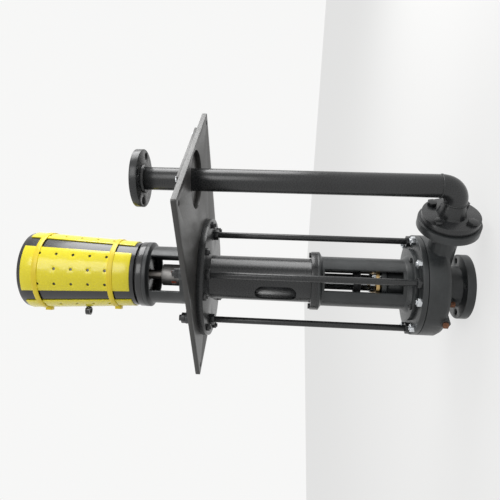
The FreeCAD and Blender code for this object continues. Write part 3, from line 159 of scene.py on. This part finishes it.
floor_paint = bpy.data.materials.new("pale_floor")
floor_paint.use_nodes = True
tree = floor_paint.node_tree
floor_shader = tree.nodes["Principled BSDF"]
floor_shader.inputs["Base Color"].default_value = (0.86, 0.86, 0.85, 1.0)
floor_shader.inputs["Roughness"].default_value = 0.8
glow = tree.nodes.new("ShaderNodeEmission")
glow.inputs["Color"].default_value = STUDIO_WHITE
glow.inputs["Strength"].default_value = 1.0
show_glow = tree.nodes.new("ShaderNodeMath")
show_glow.operation = "MULTIPLY"
show_glow.inputs[1].default_value = FLOOR_WHITENESS
floor_mix = tree.nodes.new("ShaderNodeMixShader")
tree.links.new(seen_or_reflected(tree), show_glow.inputs[0])
tree.links.new(show_glow.outputs[0], floor_mix.inputs["Fac"])
tree.links.new(floor_shader.outputs[0], floor_mix.inputs[1])
tree.links.new(glow.outputs[0], floor_mix.inputs[2])
tree.links.new(floor_mix.outputs[0], tree.nodes["Material Output"].inputs["Surface"])
floor_mesh.materials.append(floor_paint)
print("floor at", round(floor_height, 4))

# %% Three soft lamps
MIDDLE = (cad_low + cad_high) / 2
OVER = Vector((0.733, 0.680, 0.0))
TOWARDS_CAMERA = (CAMERA_PLACE - MIDDLE).normalized()


def soft_lamp(name, direction, distance, size, watts):
    """A square area lamp that looks at the middle of the pump."""
    data = bpy.data.lights.new(name, "AREA")
    data.shape = "SQUARE"
    data.size = size
    data.energy = watts
    lamp = bpy.data.objects.new(name, data)
    SCENE.collection.objects.link(lamp)
    lamp.location = MIDDLE + direction.normalized() * distance
    lamp.rotation_mode = "QUATERNION"
    lamp.rotation_quaternion = direction.to_track_quat("Z", "Y")
    return lamp


soft_lamp("lamp_over", OVER + Vector((0, 0, 0.25)), 2.2, 1.6, 46.0)
soft_lamp("lamp_front", TOWARDS_CAMERA + 0.35 * OVER + Vector((0, 0, 0.5)), 2.6, 1.4, 20.0)
soft_lamp("lamp_top", Vector((-0.3, -0.2, 1.0)), 2.4, 1.5, 18.0)

# %% [markdown]
# ## Finishes
#
# Every finish is made from nodes and read in the object's own coordinates, so a grain has its real
# size on every piece.  Three things are mixed each time: a slow change of tone, a fine grain that
# also lifts the surface a little as a bump, and a roughness that wanders with the grain.

# %% Helpers for finishes
NOISE_LOW = 0.3
NOISE_HIGH = 0.7
finishes = {}


def add_node(finish, kind, **values):
    """A new node in a finish, with the named inputs set."""
    made = finish.node_tree.nodes.new(kind)
    for key, value in values.items():
        made.inputs[key.replace("_", " ")].default_value = value
    return made


def wire(finish, output, target):
    """Joins an output to an input."""
    finish.node_tree.links.new(output, target)


def grain(finish, scale, detail=3.0, roughness=0.55):
    """Noise in object coordinates; scale is in grains per metre."""
    nodes_here = finish.node_tree.nodes
    place = nodes_here.get("place") or nodes_here.new("ShaderNodeTexCoord")
    place.name = "place"
    noise = add_node(finish, "ShaderNodeTexNoise", Scale=scale, Detail=detail, Roughness=roughness)
    wire(finish, place.outputs["Object"], noise.inputs["Vector"])
    return noise.outputs["Fac"]


def ramp_between(finish, factor, low, high):
    """Two tones, from low to high over the range that noise mostly covers."""
    ramp = finish.node_tree.nodes.new("ShaderNodeValToRGB")
    ramp.color_ramp.elements[0].position = NOISE_LOW
    ramp.color_ramp.elements[1].position = NOISE_HIGH
    ramp.color_ramp.elements[0].color = (*low, 1.0)
    ramp.color_ramp.elements[1].color = (*high, 1.0)
    wire(finish, factor, ramp.inputs["Fac"])
    return ramp.outputs["Color"]


def spread(finish, factor, low, high):
    """The factor stretched onto a range."""
    stretch = finish.node_tree.nodes.new("ShaderNodeMapRange")
    stretch.inputs["From Min"].default_value = NOISE_LOW
    stretch.inputs["From Max"].default_value = NOISE_HIGH
    stretch.inputs["To Min"].default_value = low
    stretch.inputs["To Max"].default_value = high
    wire(finish, factor, stretch.inputs["Value"])
    return stretch.outputs["Result"]


def lift(finish, height, depth, strength):
    """A bump of a real depth in metres."""
    bump = finish.node_tree.nodes.new("ShaderNodeBump")
    bump.inputs["Strength"].default_value = strength
    bump.inputs["Distance"].default_value = depth
    wire(finish, height, bump.inputs["Height"])
    return bump.outputs["Normal"]


def tones(colour, share):
    """The colour a share darker and a share lighter."""
    return [tuple(c * (1 - share) for c in colour), tuple(min(1.0, c * (1 + share)) for c in colour)]


def surface(name, colour, vary, rough, metal=0.0, slow=7.0, fine=160.0, depth=0.0002, strength=0.3,
            coat=0.0, coat_rough=0.1, specular=0.5):
    """A finish with a slow change of tone, a fine bumped grain and a wandering roughness."""
    finish = bpy.data.materials.new(name)
    finish.use_nodes = True
    shader = finish.node_tree.nodes["Principled BSDF"]
    shader.inputs["Metallic"].default_value = metal
    shader.inputs["Coat Weight"].default_value = coat
    shader.inputs["Coat Roughness"].default_value = coat_rough
    shader.inputs["Specular IOR Level"].default_value = specular
    low, high = tones(colour, vary)
    wire(finish, ramp_between(finish, grain(finish, slow), low, high), shader.inputs["Base Color"])
    fine_grain = grain(finish, fine, detail=4.0)
    wire(finish, spread(finish, fine_grain, rough * 0.85, min(1.0, rough * 1.2)), shader.inputs["Roughness"])
    wire(finish, lift(finish, fine_grain, depth, strength), shader.inputs["Normal"])
    finishes[name] = finish
    return finish


print("helpers ready")

# %% [markdown]
# ### Charcoal enamel, smooth on steel and rough on castings
#
# The pump is sprayed in one dark grey enamel.  On pipe and plate it lies smooth and half glossy, with
# a slight orange peel.  On the castings the sand of the mould shows through, so the same colour
# gets a coarser, deeper bump and breaks the highlights up.

# %% Paints
CHARCOAL = (0.024, 0.025, 0.026)
surface("enamel_on_steel", CHARCOAL, 0.25, 0.27, fine=260.0, depth=0.00012, strength=0.25)
surface("enamel_on_casting", (0.030, 0.033, 0.034), 0.4, 0.36, slow=11.0, fine=210.0, depth=0.0007,
        strength=0.55)
surface("enamel_on_plate", (0.045, 0.044, 0.042), 0.3, 0.36, slow=5.0, fine=180.0, depth=0.00015,
        strength=0.25)
surface("motor_gloss_black", (0.012, 0.012, 0.013), 0.3, 0.22, slow=9.0, fine=220.0, depth=0.0001,
        strength=0.2, coat=0.4)
print(sorted(finishes))

# %% [markdown]
# ### Bare and plated metals, rubber, packing and sheet
#
# Zinc-plated nuts are bright but never mirror-like, bronze is warm, laminated steel is dull.
# Rubber and packing hardly reflect at all.

# %% Metals and soft materials
surface("zinc_plate", (0.62, 0.64, 0.66), 0.12, 0.27, metal=1.0, slow=60.0, fine=900.0, depth=0.00005)
surface("ground_shaft", (0.56, 0.57, 0.58), 0.1, 0.2, metal=1.0, slow=30.0, fine=1400.0, depth=0.00003)
surface("bearing_steel", (0.66, 0.67, 0.68), 0.08, 0.16, metal=1.0, slow=30.0, fine=1400.0, depth=0.00002)
surface("hard_white_iron", (0.32, 0.31, 0.30), 0.2, 0.5, metal=0.8, slow=20.0, fine=300.0, depth=0.0004)
surface("gland_bronze", (0.55, 0.38, 0.17), 0.2, 0.33, metal=1.0, slow=25.0, fine=700.0, depth=0.00008)
surface("gasket_sheet", (0.06, 0.07, 0.09), 0.25, 0.85, slow=30.0, fine=600.0, depth=0.0001)
surface("black_rubber", (0.022, 0.022, 0.024), 0.3, 0.7, slow=30.0, fine=500.0, depth=0.0001)
surface("greased_packing", (0.26, 0.22, 0.15), 0.3, 0.6, slow=40.0, fine=700.0, depth=0.0006)
surface("orange_spider", (0.50, 0.10, 0.05), 0.15, 0.5, slow=30.0, fine=400.0, depth=0.0001)
surface("motor_iron", (0.030, 0.030, 0.032), 0.3, 0.5, slow=12.0, fine=260.0, depth=0.0005)
surface("laminated_steel", (0.30, 0.28, 0.26), 0.2, 0.45, metal=0.9, slow=20.0, fine=900.0, depth=0.0001)
surface("moulded_fan", (0.030, 0.030, 0.033), 0.2, 0.5, slow=15.0, fine=500.0, depth=0.0001)
surface("rusty_plug", (0.20, 0.085, 0.045), 0.5, 0.8, slow=90.0, fine=400.0, depth=0.0005, strength=0.6)
surface("yellow_sheet", (0.93, 0.80, 0.02), 0.04, 0.25, slow=6.0, fine=120.0, depth=0.0002, strength=0.2,
        coat=0.3)
surface("yellow_strap", (0.90, 0.70, 0.03), 0.06, 0.35, slow=12.0, fine=300.0, depth=0.0002, strength=0.3)
print(len(finishes), "finishes")

# %% [markdown]
# ## The CAD nodes keep their shape and get softened edges
#
# Real edges are never perfectly sharp: they carry a small round that catches the light.  A chain
# of modifiers gives every CAD node that round without touching its mesh.  First its vertices are
# welded, then the edges that turn sharply are bevelled, and last the faces are shaded smooth up to
# a limit angle.

# %% A small node group: weld before, and shade by angle after
SHARP_ANGLE = math.radians(32)


def modifier_group(name):
    """An empty geometry node group with one geometry in and one out."""
    group = bpy.data.node_groups.new(name, "GeometryNodeTree")
    group.interface.new_socket("Geometry", in_out="INPUT", socket_type="NodeSocketGeometry")
    group.interface.new_socket("Geometry", in_out="OUTPUT", socket_type="NodeSocketGeometry")
    return group, group.nodes.new("NodeGroupInput"), group.nodes.new("NodeGroupOutput")


def weld_group():
    """Merges the vertices that lie on one another and drops the imported normals."""
    group, start, end = modifier_group("weld")
    merge = group.nodes.new("GeometryNodeMergeByDistance")
    merge.inputs["Distance"].default_value = 1e-6
    forget = group.nodes.new("GeometryNodeRemoveAttribute")
    forget.inputs["Name"].default_value = "custom_normal"
    group.links.new(start.outputs[0], merge.inputs["Geometry"])
    group.links.new(merge.outputs["Geometry"], forget.inputs["Geometry"])
    group.links.new(forget.outputs["Geometry"], end.inputs[0])
    return group


def shade_group():
    """Shades all faces smooth, and keeps the edges sharp that turn more than the limit angle."""
    group, start, end = modifier_group("shade_by_angle")
    faces = group.nodes.new("GeometryNodeSetShadeSmooth")
    faces.domain = "FACE"
    edges = group.nodes.new("GeometryNodeSetShadeSmooth")
    edges.domain = "EDGE"
    angle = group.nodes.new("GeometryNodeInputMeshEdgeAngle")
    flat_enough = group.nodes.new("FunctionNodeCompare")
    flat_enough.operation = "LESS_THAN"
    flat_enough.inputs["B"].default_value = SHARP_ANGLE
    group.links.new(angle.outputs["Unsigned Angle"], flat_enough.inputs["A"])
    group.links.new(start.outputs[0], faces.inputs["Geometry"])
    group.links.new(faces.outputs["Geometry"], edges.inputs["Geometry"])
    group.links.new(flat_enough.outputs["Result"], edges.inputs["Shade Smooth"])
    group.links.new(edges.outputs["Geometry"], end.inputs[0])
    return group


WELD = weld_group()
SHADE = shade_group()


def soften(piece, width, segments=2):
    """Welds, rounds sharp edges by the width and shades the rest smooth."""
    weld = piece.modifiers.new("weld", "NODES")
    weld.node_group = WELD
    if width > 0:
        bevel = piece.modifiers.new("round_edges", "BEVEL")
        bevel.width = width
        bevel.segments = segments
        bevel.limit_method = "ANGLE"
        bevel.angle_limit = SHARP_ANGLE
    shade = piece.modifiers.new("shade_by_angle", "NODES")
    shade.node_group = SHADE
    return piece


def paint(piece, finish_name):
    """Puts one finish on a piece."""
    piece.data.materials.clear()
    piece.data.materials.append(finishes[finish_name])
    return piece


print("groups", WELD.name, SHADE.name)

# %% Which finish each CAD node gets
FINISH_OF = {
    "enamel_on_plate": "support_plate pipe_cover_plates",
    "enamel_on_steel": "column_pipe tie_rods tie_rod_nuts weld_neck_flange discharge_elbow discharge_pipe "
                       "outlet_flange discharge_flange_bolts head_flange_bolts column_joint_bolts "
                       "frame_foot_screws upper_bearing_cap lower_bearing_cap",
    "enamel_on_casting": "lower_frame rear_cover stuffing_box volute_casing motor_bracket bearing_housing",
    "motor_gloss_black": "motor_cowl drive_end_bell lifting_eye",
    "motor_iron": "motor_frame fan_end_bell",
    "yellow_sheet": "jacket_panels",
    "yellow_strap": "jacket_straps",
    "zinc_plate": "cover_plate_screws gland_studs casing_nuts bearing_screws",
    "ground_shaft": "pump_shaft shaft_sleeve impeller_nut bearing_locknut",
    "bearing_steel": "upper_outer_race lower_outer_race upper_inner_race lower_inner_race upper_rollers "
                     "lower_rollers motor_bearing_outer_rings motor_bearing_inner_rings",
    "hard_white_iron": "impeller wear_plate pump_coupling_hub motor_coupling_hub",
    "gland_bronze": "gland lantern_ring",
    "gasket_sheet": "casing_gasket discharge_gasket",
    "black_rubber": "shaft_seals slinger",
    "greased_packing": "packing_rings",
    "orange_spider": "coupling_spider",
    "laminated_steel": "stator motor_rotor",
    "moulded_fan": "cooling_fan",
    "rusty_plug": "drain_plugs",
}
STEEL_EDGE = 0.0006
FINE_EDGE = 0.0003
EDGE_OF = {
    "enamel_on_casting": 0.0016,
    "bearing_steel": FINE_EDGE,
    "black_rubber": FINE_EDGE,
    "laminated_steel": FINE_EDGE,
    "gasket_sheet": FINE_EDGE,
}

for finish_name, names in FINISH_OF.items():
    for name in names.split():
        paint(nodes[name], finish_name)
        soften(nodes[name], EDGE_OF.get(finish_name, STEEL_EDGE))
print("painted", sum(len(names.split()) for names in FINISH_OF.values()), "nodes")

# %% [markdown]
# ## Weld beads
#
# The riser is welded to the elbow and the elbow to its flange.  A weld bead is a ring of small
# overlapping ripples.  It is modelled as a ring whose thickness rises and falls along its length,
# so the ripples are real shape and not only a bump.

# %% Rings of ripples at the elbow
pipe_low, pipe_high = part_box("discharge_pipe")
elbow_low, elbow_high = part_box("discharge_elbow")
neck_low, neck_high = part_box("weld_neck_flange")
BEAD = 0.0028
BEAD_LEAST = 0.72
BEAD_FLATTEN = 0.6
RIPPLES = 46
STEPS_PER_RIPPLE = 4
BEAD_SIDES = 10


def new_piece(name, mesh, finish_name, body):
    """Turns a finished bmesh into a painted piece that rides on a body."""
    bmesh.ops.recalc_face_normals(mesh, faces=mesh.faces)
    data = bpy.data.meshes.new(name)
    mesh.to_mesh(data)
    mesh.free()
    piece = bpy.data.objects.new(name, data)
    SCENE.collection.objects.link(piece)
    paint(piece, finish_name)
    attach(piece, body)
    return piece


def bridge(mesh, low_ring, high_ring):
    """A band of faces between two rings with as many corners."""
    for corner in range(len(low_ring)):
        after = (corner + 1) % len(low_ring)
        mesh.faces.new((low_ring[corner], low_ring[after], high_ring[after], high_ring[corner]))


def weld_bead(name, centre, axis, radius):
    """A ring of ripples round an axis."""
    mesh = bmesh.new()
    side = axis.orthogonal().normalized()
    other = axis.cross(side)
    rings = []
    steps = RIPPLES * STEPS_PER_RIPPLE
    for step in range(steps):
        turned = 2 * math.pi * step / steps
        ripple = abs(math.sin(turned * RIPPLES / 2))
        thick = BEAD * (BEAD_LEAST + (1 - BEAD_LEAST) * ripple)
        out = side * math.cos(turned) + other * math.sin(turned)
        ring = []
        for corner in range(BEAD_SIDES):
            angle = 2 * math.pi * corner / BEAD_SIDES
            reach = radius + thick * BEAD_FLATTEN * math.cos(angle)
            ring.append(mesh.verts.new(centre + out * reach + axis * thick * math.sin(angle)))
        rings.append(ring)
    for index, ring in enumerate(rings):
        bridge(mesh, ring, rings[(index + 1) % steps])
    piece = new_piece(name, mesh, "enamel_on_steel", "pump")
    for face in piece.data.polygons:
        face.use_smooth = True
    return piece


PIPE_RADIUS = 0.03015
pipe_end = Vector(((pipe_low.x + pipe_high.x) / 2, 0.0, pipe_low.z))
neck_end = Vector((neck_high.x, 0.0, (neck_low.z + neck_high.z) / 2))
weld_bead("weld_pipe_to_elbow", pipe_end, Vector((0, 0, 1)), PIPE_RADIUS)
weld_bead("weld_elbow_to_neck", neck_end, Vector((1, 0, 0)), PIPE_RADIUS)
print("weld beads", RIPPLES, "ripples each")

# %% [markdown]
# ## Nuts with chamfered corners
#
# A bought nut is a hexagon whose corners are turned off by a cone, so each flat ends in an arc.
# Here every flat gets a few extra corners along it, and each corner's top is lowered by how far it
# lies out from the middle, which draws the same arc.  The stud end that stands in the nut is a
# stack of rings, wide and narrow in turn, so it reads as a thread.

# %% A chamfered nut with its stud end
FLATS = 6
STEPS_PER_FLAT = 4
CROWN_SHARE = 0.95
CHAMFER_SLOPE = 0.5
THREAD_TURNS = 4
THREAD_ROOT = 0.9
THREAD_CREST_RISE = 0.25
HOLE_SHARE = 1.08
STUD_TIP_SHARE = 0.86
NUT_EDGE = 0.0004


def hexagon_outline(flat):
    """Angles and radii round a hexagon whose flats lie at the given distance."""
    outline = []
    for flat_index in range(FLATS):
        start = math.pi / 3 * flat_index - math.pi / 6
        for step in range(STEPS_PER_FLAT):
            angle = start + math.pi / 3 * step / STEPS_PER_FLAT
            outline.append((angle, flat / math.cos(angle - (start + math.pi / 6))))
    return outline


def nut_with_stud(name, centre, axis, across_flats, height, stud_radius, proud, twist):
    """A zinc-plated nut with turned corners, and a threaded stud end through it."""
    mesh = bmesh.new()
    side = Matrix.Rotation(twist, 3, axis) @ axis.orthogonal().normalized()
    other = axis.cross(side)
    flat = across_flats / 2
    outline = hexagon_outline(flat)

    def corner_at(angle, reach, rise):
        out = side * math.cos(angle) + other * math.sin(angle)
        return mesh.verts.new(centre + out * reach + axis * rise)

    def round_ring(rise, limit):
        return [corner_at(angle, min(reach, limit), rise) for angle, reach in outline]

    seat = [corner_at(angle, reach, 0.0) for angle, reach in outline]
    shoulder = []
    for angle, reach in outline:
        lowered = max(0.0, reach - flat * CROWN_SHARE) * CHAMFER_SLOPE
        shoulder.append(corner_at(angle, reach, height - lowered))
    crown = round_ring(height, flat * CROWN_SHARE)
    hole = round_ring(height, stud_radius * HOLE_SHARE)
    rings = [seat, shoulder, crown, hole]
    pitch = proud / THREAD_TURNS
    for thread in range(THREAD_TURNS):
        rise = height + pitch * (thread + 0.5)
        rings.append(round_ring(rise - pitch * THREAD_CREST_RISE, stud_radius * THREAD_ROOT))
        rings.append(round_ring(rise + pitch * THREAD_CREST_RISE, stud_radius))
    rings.append(round_ring(height + proud, stud_radius * STUD_TIP_SHARE))
    for low_ring, high_ring in zip(rings, rings[1:]):
        bridge(mesh, low_ring, high_ring)
    mesh.faces.new(rings[-1])
    mesh.faces.new(list(reversed(seat)))
    piece = new_piece(name, mesh, "zinc_plate", "pump")
    return soften(piece, NUT_EDGE)


print("a nut has", FLATS * STEPS_PER_FLAT, "corners round it")

# %% The ring of nuts that closes the casing
CASING_NUTS = 8
CASING_STUD_CIRCLE = 0.137
CASING_STUD_RADIUS = 0.00635
CASING_NUT_FLATS = 0.0222
CASING_NUT_HEIGHT = 0.0115
nut_low, nut_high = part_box("casing_nuts")
stud_proud = nut_high.z - nut_low.z - CASING_NUT_HEIGHT
for index in range(CASING_NUTS):
    angle = 2 * math.pi * (index + 1.5) / CASING_NUTS
    centre = Vector((CASING_STUD_CIRCLE * math.cos(angle), CASING_STUD_CIRCLE * math.sin(angle), nut_low.z))
    nut_with_stud("casing_nut_%d" % index, centre, Vector((0, 0, 1)), CASING_NUT_FLATS,
                                     CASING_NUT_HEIGHT, CASING_STUD_RADIUS, stud_proud, angle)
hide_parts("casing_nuts")

# %% [markdown]
# ## The last step
#
# Last, the view layer is brought up to date.

# %% Bring the view layer up to date
bpy.context.view_layer.update()
